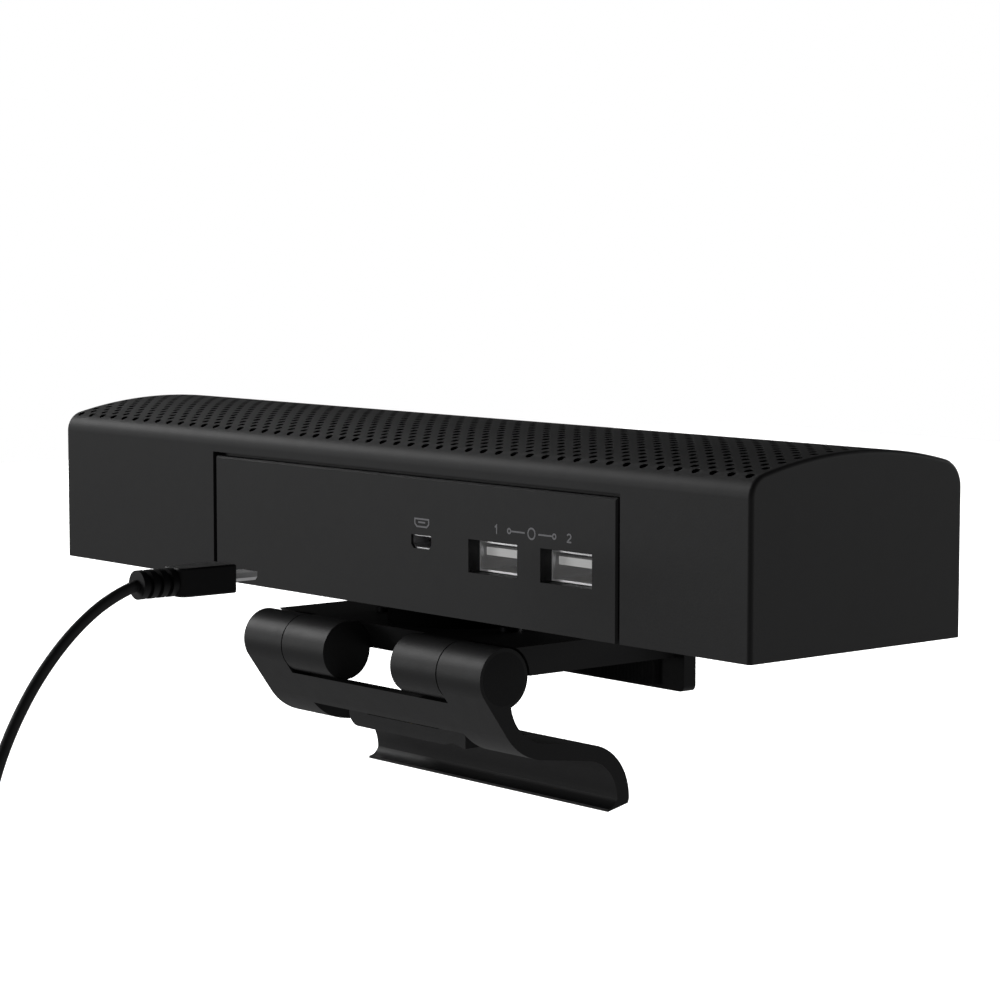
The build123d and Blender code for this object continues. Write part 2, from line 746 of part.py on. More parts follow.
save("housing", housing())
save("bottom_cover", bottom_cover())
save("cover_screws", Compound(children=[cover_screw(x, y) for x, y in cover_screw_spots]))
save("rear_panel", rear_panel())
for number, x in enumerate(usb_x, start=1):
    save(f"usb_shell_{number}", usb_socket_shell(x))
    save(f"usb_tongue_{number}", usb_socket_tongue(x))
save("micro_usb_shell", micro_socket_shell())
save("micro_usb_tongue", micro_socket_tongue())
save("hub_board", hub_board())
save("hub_posts", Compound(children=[hub_post(x, y) for x, y in hub_post_spots]))
save("input_board", input_board())
save("main_board", main_board())
save("front_panel", front_panel())
save("status_light", status_light())
save("lens_ring", lens_ring())
save("lens_barrel", lens_barrel())
save("lens_glass", lens_glass())
save("camera_board", camera_board())
for name, side in (("left", 1), ("right", -1)):
    save(f"leg_cap_{name}", leg_cap(side))
    save(f"hinge_pin_{name}", hinge_pin(side))
    save(f"light_window_{name}", light_window(side))
    save(f"light_board_{name}", light_board(side))
    save(f"speaker_baffle_{name}", speaker_baffle(side))
    save(f"speaker_frame_{name}", speaker_frame(side))
    save(f"speaker_cone_{name}", speaker_cone(side))
    save(f"speaker_magnet_{name}", speaker_magnet(side))
save("swivel_hub", swivel_hub())
save("swivel_washer", swivel_washer())
save("swivel_screw", swivel_screw())

save("shutter", shutter())

save("plug_body", plug_body_solid())
save("plug_shell", plug_shell_solid())
save("strain_relief", strain_relief())
lead, lead_length = tube(lead_route, "lead")
tail, tail_length = tube(tail_route, "tail")
coil = coil_ring(0)
save("cord", Compound(children=[lead - coil - strain_relief(), tail - coil]))
save("cord_coil", coil)
save("cable_tie", cable_tie())
save("usb_plug_body", usb_plug_body_solid())
save("usb_plug_shell", usb_plug_shell_solid())

turns = coil_layers * coil_columns
coil_length = turns * 2 * math.pi * coil_mean_radius
print("cord length", round(lead_length + coil_length + tail_length, 1))
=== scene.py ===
import bpy
import bmesh
import json
import math
from mathutils import Vector, Matrix

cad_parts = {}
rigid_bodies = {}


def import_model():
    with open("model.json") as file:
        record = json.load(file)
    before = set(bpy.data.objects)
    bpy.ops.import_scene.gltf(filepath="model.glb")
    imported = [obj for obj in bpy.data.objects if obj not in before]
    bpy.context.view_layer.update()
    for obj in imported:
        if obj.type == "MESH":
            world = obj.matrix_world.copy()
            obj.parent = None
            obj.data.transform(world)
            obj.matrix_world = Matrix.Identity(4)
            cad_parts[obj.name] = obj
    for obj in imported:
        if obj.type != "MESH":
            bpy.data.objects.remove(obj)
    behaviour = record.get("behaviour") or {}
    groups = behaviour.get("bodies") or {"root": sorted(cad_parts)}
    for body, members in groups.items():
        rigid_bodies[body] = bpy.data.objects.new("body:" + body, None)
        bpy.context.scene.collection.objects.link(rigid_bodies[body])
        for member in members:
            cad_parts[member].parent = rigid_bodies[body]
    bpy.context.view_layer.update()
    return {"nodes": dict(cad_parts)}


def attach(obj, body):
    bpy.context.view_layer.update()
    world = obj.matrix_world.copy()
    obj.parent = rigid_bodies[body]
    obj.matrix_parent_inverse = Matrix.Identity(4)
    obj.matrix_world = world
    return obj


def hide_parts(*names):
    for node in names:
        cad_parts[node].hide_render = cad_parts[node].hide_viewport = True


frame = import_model()
nodes = frame["nodes"]
MM = 0.001


# ------------------------------------------------------------------ camera
LENS_MM, SENSOR_MM = 105.54, 36.0
CAMERA_PLACE = (-0.432308, 0.370411, 0.081442)
YAW_PITCH_ROLL = (49.8227, 5.3746, -0.0443)
CLIP_NEAR, CLIP_FAR = 0.01, 60.0


def make_camera():
    """Behind the bar, off its -X end, looking slightly down."""
    data = bpy.data.cameras.new("camera")
    data.lens = LENS_MM
    data.sensor_width = SENSOR_MM
    data.clip_start = CLIP_NEAR
    data.clip_end = CLIP_FAR
    cam = bpy.data.objects.new("camera", data)
    bpy.context.scene.collection.objects.link(cam)
    yaw, pitch, roll = (math.radians(a) for a in YAW_PITCH_ROLL)
    forward = Vector((math.sin(yaw) * math.cos(pitch), -math.cos(yaw) * math.cos(pitch), -math.sin(pitch)))
    right = forward.cross(Vector((0, 0, 1))).normalized()
    up = right.cross(forward)
    turn = Matrix.Rotation(roll, 3, forward)
    right, up = turn @ right, turn @ up
    axes = Matrix((right, up, -forward)).transposed().to_4x4()
    cam.matrix_world = Matrix.Translation(CAMERA_PLACE) @ axes
    bpy.context.scene.camera = cam


make_camera()

# ------------------------------------------------------------------ cord
# All in mm. The cord leaves the strain relief at CORD_START, hangs, is wound up and ends in a plug.
PLUG_X, PLUG_Z = -18.2, 20.85
CORD_START = 100.8
CORD_D, CORD_LENGTH = 2.0, 1500.0
STEP = 2.07
MEAN_R = 10.8
LAYERS, COLUMNS = 5, 4
TURN_POINTS = 14
STEP_OVER_FROM = 0.72
OUTER_R = MEAN_R + STEP * (LAYERS - 1) / 2
LEAD_Y, COIL_Z = 133.0, -85.0
COIL_X = PLUG_X - OUTER_R
TAIL_Y = LEAD_Y + STEP * (COLUMNS - 1)
LEAD = [
    (PLUG_X, CORD_START, PLUG_Z),
    (PLUG_X, 105.7, 19.4),
    (PLUG_X, 113.1, 14.5),
    (PLUG_X, 119.5, 7.9),
    (PLUG_X, 124.3, 0.9),
    (PLUG_X, 128.2, -7.0),
    (PLUG_X, 131.0, -16.5),
    (PLUG_X, 132.6, -28.5),
    (PLUG_X - 0.15, 133.1, -42.0),
    (PLUG_X + 0.1, 133.0, -56.5),
    (PLUG_X - 0.1, 133.0, -71.5),
]
TAIL = [
    (PLUG_X + 0.1, TAIL_Y + 0.1, -94.5),
    (PLUG_X - 0.1, TAIL_Y - 0.1, -103.5),
    (PLUG_X, TAIL_Y, -112.0),
]


def coil_points():
    """Turns wound in and out, column after column, each starting and ending on the side of the lead."""
    pts = []
    for col in range(COLUMNS):
        for lay in range(LAYERS):
            step = lay if col % 2 == 0 else LAYERS - 1 - lay
            r = OUTER_R - step * STEP
            last = lay == LAYERS - 1
            nxt = step + (0 if last else (1 if col % 2 == 0 else -1))
            r_next = OUTER_R - nxt * STEP
            for k in range(TURN_POINTS):
                t = k / TURN_POINTS
                ease = max(0.0, (t - STEP_OVER_FROM) / (1 - STEP_OVER_FROM))
                rr = r + (r_next - r) * ease
                y = LEAD_Y + STEP * (col + (ease if last and col < COLUMNS - 1 else 0.0))
                a = -2 * math.pi * t
                pts.append((COIL_X + rr * math.cos(a), y, COIL_Z + rr * math.sin(a)))
    pts.append((PLUG_X, TAIL_Y, COIL_Z))
    return pts


def nurbs(name, pts, radius):
    """The point radius carries the tube's radius, because a curve's own box grows by its point radius."""
    data = bpy.data.curves.new(name, "CURVE")
    data.dimensions = "3D"
    data.resolution_u = 6
    data.bevel_depth = 1.0
    data.bevel_resolution = 5
    data.use_fill_caps = True
    spline = data.splines.new("NURBS")
    spline.points.add(len(pts) - 1)
    for i, p in enumerate(pts):
        spline.points[i].co = (p[0] * MM, p[1] * MM, p[2] * MM, 1.0)
        spline.points[i].radius = radius
    spline.order_u = 3
    spline.use_endpoint_u = True
    ob = bpy.data.objects.new(name, data)
    bpy.context.scene.collection.objects.link(ob)
    return ob


cord = nurbs("cord_line", LEAD + coil_points() + TAIL, CORD_D / 2 * MM)
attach(cord, "cable")
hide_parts("cord", "cord_coil")


# ------------------------------------------------------------------ materials
def new_mat(name):
    mat = bpy.data.materials.new(name)
    mat.use_nodes = True
    tree = mat.node_tree
    return mat, tree, tree.nodes["Principled BSDF"]


def coords(tree, scale):
    tc = tree.nodes.new("ShaderNodeTexCoord")
    mp = tree.nodes.new("ShaderNodeMapping")
    mp.inputs["Scale"].default_value = scale if isinstance(scale, tuple) else (scale, scale, scale)
    tree.links.new(tc.outputs["Object"], mp.inputs["Vector"])
    return mp.outputs["Vector"]


def noise(tree, scale, detail=3.0, rough=0.55, stretch=None):
    n = tree.nodes.new("ShaderNodeTexNoise")
    n.inputs["Scale"].default_value = 1.0
    n.inputs["Detail"].default_value = detail
    n.inputs["Roughness"].default_value = rough
    tree.links.new(coords(tree, stretch or scale), n.inputs["Vector"])
    return n.outputs["Fac"]


def ramp(tree, fac, stops):
    r = tree.nodes.new("ShaderNodeValToRGB")
    el = r.color_ramp.elements
    while len(el) < len(stops):
        el.new(0.5)
    for e, (pos, col) in zip(el, stops):
        e.position = pos
        e.color = (*col, 1.0) if isinstance(col, tuple) else (col, col, col, 1.0)
    tree.links.new(fac, r.inputs["Fac"])
    return r.outputs["Color"]


def bump(tree, bsdf, heights):
    """heights: list of (height output, distance in mm, strength), stacked."""
    last = None
    for out, dist, strength in heights:
        b = tree.nodes.new("ShaderNodeBump")
        b.inputs["Distance"].default_value = dist * MM
        b.inputs["Strength"].default_value = strength
        tree.links.new(out, b.inputs["Height"])
        if last:
            tree.links.new(last, b.inputs["Normal"])
        last = b.outputs["Normal"]
    tree.links.new(last, bsdf.inputs["Normal"])


def shades(color, amount):
    return tuple(c * (1 - amount) for c in color), tuple(min(1.0, c * (1 + amount)) for c in color)


def plastic(name, color, rough=0.5, grain=1600, depth=0.02, strength=0.35, spec=0.35, vary=0.12,
            coat=0.0, mottle=60, uneven=0.05):
    mat, tree, b = new_mat(name)
    low, high = shades(color, vary)
    tree.links.new(ramp(tree, noise(tree, mottle, 4.0), [(0.3, low), (0.7, high)]), b.inputs["Base Color"])
    fine = noise(tree, grain, 2.0)
    tree.links.new(ramp(tree, noise(tree, mottle * 6, 3.0), [(0.3, rough - uneven), (0.7, rough + uneven)]),
                   b.inputs["Roughness"])
    b.inputs["Specular IOR Level"].default_value = spec
    b.inputs["Coat Weight"].default_value = coat
    b.inputs["Coat Roughness"].default_value = 0.08
    bump(tree, b, [(fine, depth, strength)])
    return mat


def metal(name, color, rough=0.25, stretch=(4000, 200, 4000), strength=0.15, metallic=1.0):
    mat, tree, b = new_mat(name)
    b.inputs["Metallic"].default_value = metallic
    streak = noise(tree, 1, 3.0, stretch=stretch)
    low, high = shades(color, 0.08)
    tree.links.new(ramp(tree, streak, [(0.3, low), (0.7, high)]), b.inputs["Base Color"])
    tree.links.new(ramp(tree, streak, [(0.3, rough - 0.06), (0.7, rough + 0.08)]), b.inputs["Roughness"])
    bump(tree, b, [(streak, 0.01, strength)])
    return mat


def rubber(name, color, rough=0.75, ribs=None):
    mat, tree, b = new_mat(name)
    low, high = shades(color, 0.15)
    tree.links.new(ramp(tree, noise(tree, 300, 4.0), [(0.3, low), (0.7, high)]), b.inputs["Base Color"])
    tree.links.new(ramp(tree, noise(tree, 900, 3.0), [(0.3, rough - 0.06), (0.7, rough + 0.08)]),
                   b.inputs["Roughness"])
    b.inputs["Specular IOR Level"].default_value = 0.25
    layers = [(noise(tree, 2200, 2.0), 0.02, 0.3)]
    if ribs:
        w = tree.nodes.new("ShaderNodeTexWave")
        w.bands_direction = "X"
        w.inputs["Scale"].default_value = 1.0
        tree.links.new(coords(tree, ribs), w.inputs["Vector"])
        layers.append((w.outputs["Fac"], 0.12, 0.5))
    bump(tree, b, layers)
    return mat


def circuit(name):
    mat, tree, b = new_mat(name)
    br = tree.nodes.new("ShaderNodeTexBrick")
    br.inputs["Color1"].default_value = (0.012, 0.10, 0.045, 1)
    br.inputs["Color2"].default_value = (0.014, 0.12, 0.055, 1)
    br.inputs["Mortar"].default_value = (0.05, 0.22, 0.09, 1)
    br.inputs["Scale"].default_value = 1.0
    br.inputs["Mortar Size"].default_value = 0.04
    tree.links.new(coords(tree, 450), br.inputs["Vector"])
    tree.links.new(br.outputs["Color"], b.inputs["Base Color"])
    tree.links.new(ramp(tree, noise(tree, 700), [(0.3, 0.32), (0.7, 0.48)]), b.inputs["Roughness"])
    bump(tree, b, [(br.outputs["Fac"], 0.03, 0.4)])
    return mat


def frosted(name, color):
    mat, tree, b = new_mat(name)
    low, high = shades(color, 0.04)
    tree.links.new(ramp(tree, noise(tree, 120, 3.0), [(0.3, low), (0.7, high)]), b.inputs["Base Color"])
    b.inputs["Roughness"].default_value = 0.35
    b.inputs["Subsurface Weight"].default_value = 0.25
    b.inputs["Subsurface Radius"].default_value = (0.002, 0.002, 0.002)
    b.inputs["Subsurface Scale"].default_value = 1.0
    wave = tree.nodes.new("ShaderNodeTexWave")
    wave.bands_direction = "X"
    wave.inputs["Scale"].default_value = 1.0
    tree.links.new(coords(tree, 350), wave.inputs["Vector"])
    bump(tree, b, [(wave.outputs["Fac"], 0.03, 0.3), (noise(tree, 2500), 0.01, 0.3)])
    return mat


def lens_material(name):
    mat, tree, b = new_mat(name)
    # The base colour runs from dark blue head-on to teal at grazing angles to the view: a painted coating
    # reflection.
    lw = tree.nodes.new("ShaderNodeLayerWeight")
    lw.inputs["Blend"].default_value = 0.35
    facing_reflection_tint = ramp(tree, lw.outputs["Facing"], [(0.0, (0.006, 0.006, 0.016)), (0.55, (0.02, 0.012, 0.05)),
                                            (1.0, (0.03, 0.09, 0.10))])
    tree.links.new(facing_reflection_tint, b.inputs["Base Color"])
    b.inputs["Roughness"].default_value = 0.03
    b.inputs["Coat Weight"].default_value = 1.0
    b.inputs["Coat Roughness"].default_value = 0.02
    bump(tree, b, [(noise(tree, 90, 2.0), 0.004, 0.1)])
    return mat


def cone_paper(name):
    mat, tree, b = new_mat(name)
    tree.links.new(ramp(tree, noise(tree, 500, 6.0, 0.7), [(0.3, 0.02), (0.7, 0.05)]), b.inputs["Base Color"])
    b.inputs["Roughness"].default_value = 0.9
    bump(tree, b, [(noise(tree, 1200, 6.0, 0.8), 0.05, 0.6)])
    return mat


BODY = (0.0335, 0.0335, 0.0345)
M = {
    "shell": plastic("shell_plastic", BODY, 0.52, 2600, 0.03, 0.4, 0.26, 0.02, uneven=0.012),
    "shell_panel": plastic("panel_plastic", BODY, 0.5, 2600, 0.03, 0.35, 0.26, 0.02, uneven=0.012),
    "clamp": plastic("clamp_plastic", (0.031, 0.031, 0.032), 0.48, 2600, 0.04, 0.5, 0.32, 0.03, uneven=0.02),
    "clamp_dark": plastic("clamp_dark", (0.018, 0.018, 0.019), 0.5, 2600, 0.04, 0.5, 0.3, 0.03, uneven=0.02),
    # Near-black painted shade: it fills the inside of the grille holes and the mic openings, and covers the
    # swivel hub that sits in shade under the bar.
    "shade_black": plastic("painted_shade_black", (0.003, 0.003, 0.003), 0.95, 3000, 0.02, 0.4, 0.05, 0.2),
    "plug": plastic("plug_overmould", (0.014, 0.014, 0.015), 0.5, 1300, 0.02, 0.3, 0.3, 0.06),
    "front": plastic("front_gloss", (0.008, 0.008, 0.0085), 0.26, 1600, 0.004, 0.1, 0.45, 0.02,
                     coat=0.25, uneven=0.012),
    "barrel": plastic("lens_barrel_black", (0.008, 0.008, 0.0085), 0.35, 1500, 0.02, 0.3, 0.45, 0.1),
    "slider": plastic("slider_plastic", (0.022, 0.022, 0.023), 0.4, 1500, 0.02, 0.3, 0.4, 0.08),
    "white": plastic("port_tongue_white", (0.86, 0.86, 0.85), 0.38, 900, 0.01, 0.2, 0.5, 0.03),
    "steel": metal("plated_steel", (0.72, 0.72, 0.73), 0.34, (900, 150, 900), 0.04, 0.6),
    "steel_dark": metal("dark_steel", (0.10, 0.10, 0.11), 0.38, (900, 900, 900), 0.2),
    "black_screw": metal("blackened_screw", (0.012, 0.012, 0.013), 0.5, (900, 900, 900), 0.2),
    "brass": metal("brass_insert", (0.66, 0.48, 0.22), 0.3, (900, 900, 4000)),
    "gold": metal("gold_contact", (0.83, 0.62, 0.25), 0.22),
    "pad": rubber("pad_rubber", (0.014, 0.014, 0.015), 0.8, ribs=(320, 320, 320)),
    "cord": rubber("cord_jacket", (0.034, 0.034, 0.035), 0.6),
    "tie": plastic("tie_velcro", (0.012, 0.012, 0.012), 0.85, 900, 0.15, 0.8, 0.1, 0.3),
    "board": circuit("circuit_board"),
    "frost": frosted("frosted_window", (0.80, 0.79, 0.75)),
    "lens": lens_material("lens_glass"),
    "paper": cone_paper("cone_paper"),
    "print": plastic("grey_print", (0.40, 0.40, 0.42), 0.6, 1500, 0.005, 0.1, 0.2, 0.06),
    "port_grey": plastic("port_tongue_grey", (0.055, 0.055, 0.057), 0.45, 1500, 0.02, 0.3, 0.4, 0.06),
    "magnet": metal("magnet_plating", (0.25, 0.25, 0.26), 0.4, (600, 600, 600)),
}
PART_MATERIALS = {
    "shell": ["housing", "bottom_cover", "hub_posts"],
    "shell_panel": ["rear_panel"],
    "clamp": ["clamp_plate", "clamp_leg", "tripod_block"],
    "clamp_dark": ["front_lip", "leg_cap_left", "leg_cap_right"],
    "shade_black": ["swivel_hub"],
    "pad": ["plate_pad", "lip_pad", "foot_pad"],
    "black_screw": ["plate_screws", "cover_screws", "swivel_washer", "swivel_screw"],
    "steel_dark": ["speaker_frame_left", "speaker_frame_right"],
    "steel": ["hinge_pin_left", "hinge_pin_right", "usb_shell_1", "usb_shell_2", "micro_usb_shell",
              "plug_shell", "usb_plug_shell"],
    "brass": ["thread_insert"],
    "white": ["usb_tongue_1", "usb_tongue_2"],
    "port_grey": ["micro_usb_tongue"],
    "barrel": ["lens_ring", "lens_barrel", "speaker_baffle_left", "speaker_baffle_right"],
    "board": ["hub_board", "input_board", "main_board", "camera_board", "light_board_left",
              "light_board_right"],
    "front": ["front_panel"],
    "lens": ["lens_glass"],
    "frost": ["light_window_left", "light_window_right", "status_light"],
    "paper": ["speaker_cone_left", "speaker_cone_right"],
    "magnet": ["speaker_magnet_left", "speaker_magnet_right"],
    "slider": ["shutter"],
    "plug": ["plug_body", "strain_relief", "usb_plug_body"],
    "tie": ["cable_tie"],
    "cord": ["cord", "cord_coil"],
}


def dress(ob, mat):
    ob.data.materials.clear()
    ob.data.materials.append(mat)


for key, names in PART_MATERIALS.items():
    for n in names:
        dress(nodes[n], M[key])
dress(cord, M["cord"])


# ------------------------------------------------------------------ mesh helpers
def add_mesh(name, verts, faces, mats, body, face_mats=None, normals=None, smooth=True):
    me = bpy.data.meshes.new(name)
    me.from_pydata([tuple(c * MM for c in v) for v in verts], [], faces)
    for m in mats:
        me.materials.append(m)
    if face_mats:
        me.polygons.foreach_set("material_index", face_mats)
    me.polygons.foreach_set("use_smooth", [smooth] * len(me.polygons))
    me.update()
    if normals:
        me.normals_split_custom_set_from_vertices(normals)
    ob = bpy.data.objects.new(name, me)
    bpy.context.scene.collection.objects.link(ob)
    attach(ob, body)
    return ob


# ------------------------------------------------------------------ perforated housing
# In mm. The end section is a dome arc between a small rear round and a small front round. Arc length S
# runs from the foot of the rear round (0) over the dome (S1 to S2) to the foot of the front round (S3).
HALF, RIM = 102.5, 0.8
DOME_C, DOME_R = (14.05, -47.6), 92.0
REAR_Y, FRONT_Y, BOTTOM_Z = 39.5, -11.4, 11.0
REAR_R, FRONT_R = 4.0, 5.0
REAR_C = (REAR_Y - REAR_R, DOME_C[1] + math.sqrt((DOME_R - REAR_R) ** 2 - (REAR_Y - REAR_R - DOME_C[0]) ** 2))
FRONT_C = (FRONT_Y + FRONT_R,
           DOME_C[1] + math.sqrt((DOME_R - FRONT_R) ** 2 - (FRONT_Y + FRONT_R - DOME_C[0]) ** 2))
A1 = math.atan2(REAR_C[1] - DOME_C[1], REAR_C[0] - DOME_C[0])
A2 = math.atan2(FRONT_C[1] - DOME_C[1], FRONT_C[0] - DOME_C[0])
S1 = REAR_R * A1
S2 = S1 + DOME_R * (A2 - A1)
S3 = S2 + FRONT_R * (math.pi - A2)
PITCH_X, PITCH_S = 4.165 / 2, 1.887
COLS, ROWS = 97, 23
FIRST_S = 4.45
HOLE_R, HOLE_SIDES = 0.76, 12
LIP = 0.06
# Each hole is closed at the second depth by a near-black sheet of painted shade.
HOLE_DEPTH, SHADE_SHEET_DEPTH = 1.7, 1.65
REAR_STRIPS, FRONT_STRIPS = 8, 12


def profile(s):
    """Point and outward normal at arc length s from the foot of the rear top curve."""
    if s <= 0:
        return (REAR_Y, REAR_C[1] + s), (1.0, 0.0)
    if s >= S3:
        return (FRONT_Y, FRONT_C[1] - (s - S3)), (-1.0, 0.0)
    if s < S1:
        c, r, a = REAR_C, REAR_R, s / REAR_R
    elif s < S2:
        c, r, a = DOME_C, DOME_R, A1 + (s - S1) / DOME_R
    else:
        c, r, a = FRONT_C, FRONT_R, A2 + (s - S2) / FRONT_R
    n = (math.cos(a), math.sin(a))
    return (c[0] + r * n[0], c[1] + r * n[1]), n


def perforated_top():
    """The dome with its staggered blind holes: a grid of thirds, where every other cell holds a hole."""
    verts, norms, faces, fmats = [], [], [], []

    def put(x, s, depth=0.0, normal=None):
        (y, z), n = profile(s)
        verts.append((x, y - n[0] * depth, z - n[1] * depth))
        norms.append(normal or (0.0, n[0], n[1]))
        return len(verts) - 1

    x0 = -COLS * PITCH_X / 2
    s0 = FIRST_S - PITCH_S / 2
    s_end = s0 + ROWS * PITCH_S
    xs = [-HALF + RIM] + [x0 + PITCH_X * i / 3 for i in range(3 * COLS + 1)] + [HALF - RIM]
    rear = [s0 * i / REAR_STRIPS for i in range(REAR_STRIPS)]
    grid = [s0 + PITCH_S * j / 3 for j in range(3 * ROWS + 1)]
    front = [s_end + (S3 - s_end) * i / FRONT_STRIPS for i in range(1, FRONT_STRIPS + 1)]
    ss = rear + grid + front
    index = [[put(x, s) for s in ss] for x in xs]
    j0 = len(rear)

    def quad(i, j):
        faces.append((index[i][j], index[i][j + 1], index[i + 1][j + 1], index[i + 1][j]))
        fmats.append(0)

    holed = set()
    for c in range(COLS):
        for r in range(ROWS):
            if (c + r) % 2:
                continue
            i, j = 1 + 3 * c, j0 + 3 * r
            for a in range(3):
                for b in range(3):
                    holed.add((i + a, j + b))
            ring = ([index[i + k][j] for k in range(3)] + [index[i + 3][j + k] for k in range(3)]
                    + [index[i + 3 - k][j + 3] for k in range(3)] + [index[i][j + 3 - k] for k in range(3)])
            cx, cs = x0 + PITCH_X * (c + 0.5), s0 + PITCH_S * (r + 0.5)
            angles = [math.radians(225) + 2 * math.pi * k / HOLE_SIDES for k in range(HOLE_SIDES)]
            lip = [put(cx + (HOLE_R + LIP) * math.cos(a), cs + (HOLE_R + LIP) * math.sin(a)) for a in angles]
            n = profile(cs)[1]
            tangent = (-n[1], n[0])

            def wall_normal(a):
                return (-math.cos(a), -math.sin(a) * tangent[0], -math.sin(a) * tangent[1])

            def mix(a):
                w = wall_normal(a)
                return tuple(Vector((w[0], w[1] + n[0], w[2] + n[1])).normalized())

            def ring_at(depth, normal=lambda a: None):
                return [put(cx + HOLE_R * math.cos(a), cs + HOLE_R * math.sin(a), depth, normal(a))
                        for a in angles]

            # The hole walls and the sheet closing each hole are near-black: painted shade for the dark inside
            # of the holes.
            mid = ring_at(LIP, mix)
            top = ring_at(LIP, wall_normal)
            low = ring_at(HOLE_DEPTH, wall_normal)
            cap = ring_at(SHADE_SHEET_DEPTH)
            for k in range(HOLE_SIDES):
                m = (k + 1) % HOLE_SIDES
                faces.append((ring[k], lip[k], lip[m], ring[m]))
                faces.append((lip[k], mid[k], mid[m], lip[m]))
                faces.append((top[k], low[k], low[m], top[m]))
                fmats.extend((0, 0, 1))
            faces.append(tuple(reversed(cap)))
            fmats.append(1)
    for i in range(len(xs) - 1):
        for j in range(len(ss) - 1):
            if (i, j) not in holed:
                quad(i, j)
    rims(verts, norms, faces, fmats, ss)
    return add_mesh("housing_top", verts, faces, [M["shell"], M["shade_black"]], "bar",
                    fmats, norms)


def rims(verts, norms, faces, fmats, ss):
    """Small rounds where the walls turn into the two ends."""
    rear_low, front_low = BOTTOM_Z - REAR_C[1], S3 + FRONT_C[1] - BOTTOM_Z
    line = [rear_low] + ss + [front_low]
    steps = 5
    for side in (1, -1):
        rows = []
        for k in range(steps + 1):
            t = math.pi / 2 * k / steps
            row = []
            for s in line:
                (y, z), n = profile(s)
                inset = RIM * (1 - math.cos(t))
                verts.append((side * (HALF - RIM + RIM * math.sin(t)), y - n[0] * inset, z - n[1] * inset))
                norms.append((side * math.sin(t), n[0] * math.cos(t), n[1] * math.cos(t)))
                row.append(len(verts) - 1)
            rows.append(row)
        for a, b in zip(rows, rows[1:]):
            for j in range(len(line) - 1):
                f = (a[j], a[j + 1], b[j + 1], b[j])
                faces.append(f if side > 0 else tuple(reversed(f)))
                fmats.append(0)


def housing_walls():
    """The flat walls, ends and inside, from the CAD housing without its curved top."""
    src = nodes["housing"]
    bm = bmesh.new()
    bm.from_mesh(src.data)
    gone = []

    def curved(v):
        x, y, z = (c / MM for c in v.co)
        if z < REAR_C[1] - 4:
            return False
        on = abs(math.hypot(y - DOME_C[0], z - DOME_C[1]) - DOME_R) < 0.06
        on = on or abs(math.hypot(y - REAR_C[0], z - REAR_C[1]) - REAR_R) < 0.06
        return on or abs(math.hypot(y - FRONT_C[0], z - FRONT_C[1]) - FRONT_R) < 0.06

    for f in bm.faces:
        xs = [abs(v.co.x) / MM for v in f.verts]
        outside = max(xs) > HALF - RIM + 0.02
        if outside and min(xs) > HALF - RIM - 0.02 and min(xs) < HALF - 0.01:
            if abs(f.normal.z) < 0.9 or min(v.co.z for v in f.verts) > 0.03:
                gone.append(f)
        elif all(curved(v) for v in f.verts) and max(xs) < HALF - RIM + 0.02:
            gone.append(f)
    bmesh.ops.delete(bm, geom=gone, context="FACES")
    me = bpy.data.meshes.new("housing_walls")
    bm.to_mesh(me)
    bm.free()
    me.materials.clear()
    me.materials.append(M["shell"])
    me.polygons.foreach_set("use_smooth", [False] * len(me.polygons))
    ob = bpy.data.objects.new("housing_walls", me)
    bpy.context.scene.collection.objects.link(ob)
    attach(ob, "bar")
    return ob


top = perforated_top()
walls = housing_walls()
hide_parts("housing")
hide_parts("housing")


# ------------------------------------------------------------------ printing on the rear panel
PRINT_LIFT = 0.012


def strokes(name, lines, width):
    """Flat printed lines on the panel: each a list of (x, z) in mm, closed when it ends where it starts."""
    verts, faces = [], []
    y = REAR_Y + PRINT_LIFT
    for line in lines:
        closed = math.dist(line[0], line[-1]) < 1e-6
        points = line[:-1] if closed else line
        n = len(points)
        base = len(verts)
        for i, (x, z) in enumerate(points):
            ways = []
            if i or closed:
                ways.append((x - points[i - 1][0], z - points[i - 1][1]))
            if i + 1 < n or closed:
                ways.append((points[(i + 1) % n][0] - x, points[(i + 1) % n][1] - z))
            ways = [(dx / math.hypot(dx, dz), dz / math.hypot(dx, dz)) for dx, dz in ways]
            ux, uz = sum(w[0] for w in ways), sum(w[1] for w in ways)
            ln = math.hypot(ux, uz)
            ux, uz = ux / ln, uz / ln
            half = width / 2 / (ux * ways[0][0] + uz * ways[0][1])
            verts += [(x - uz * half, y, z + ux * half), (x + uz * half, y, z - ux * half)]
        for i in range(n if closed else n - 1):
            p, q = base + 2 * i, base + 2 * ((i + 1) % n)
            faces.append((p, p + 1, q + 1, q))
    add_mesh(name, verts, faces, [M["print"]], "bar", smooth=False)


def ring_line(cx, cz, r, n=14):
    return [(cx + r * math.cos(2 * math.pi * k / n), cz + r * math.sin(2 * math.pi * k / n))
            for k in range(n + 1)]


def numeral(name, x, z, lines):
    """A digit from lines of (across, up) in mm, as read from behind the bar."""
    strokes(name, [[(x - across, z + up) for across, up in line] for line in lines], 0.28)


numeral("digit_1", -39.45, 27.1, [[(-0.42, 1.16), (0.05, 1.56), (0.05, 0.0)]])
numeral("digit_2", -58.75, 27.1, [
    [(0.47 * math.cos(math.radians(a)), 1.1 + 0.42 * math.sin(math.radians(a)))
     for a in (165, 138, 110, 80, 50, 20, -10, -35)] + [(-0.36, 0.3)],
    [(-0.58, 0.14), (0.58, 0.14)],
])

strokes("port_icon", [
    [(-16.4, 28.1), (-20.4, 28.1), (-20.4, 27.2), (-19.8, 26.7), (-17.0, 26.7), (-16.4, 27.2), (-16.4, 28.1)],
    [(-17.4, 27.5), (-19.4, 27.5)],
], 0.3)
strokes("hub_icon", [
    [(-43.4, 27.9), (-47.1, 27.9)], [(-50.7, 27.9), (-54.4, 27.9)],
    ring_line(-48.9, 27.9, 0.95), ring_line(-42.9, 27.9, 0.42), ring_line(-54.9, 27.9, 0.42),
], 0.3)


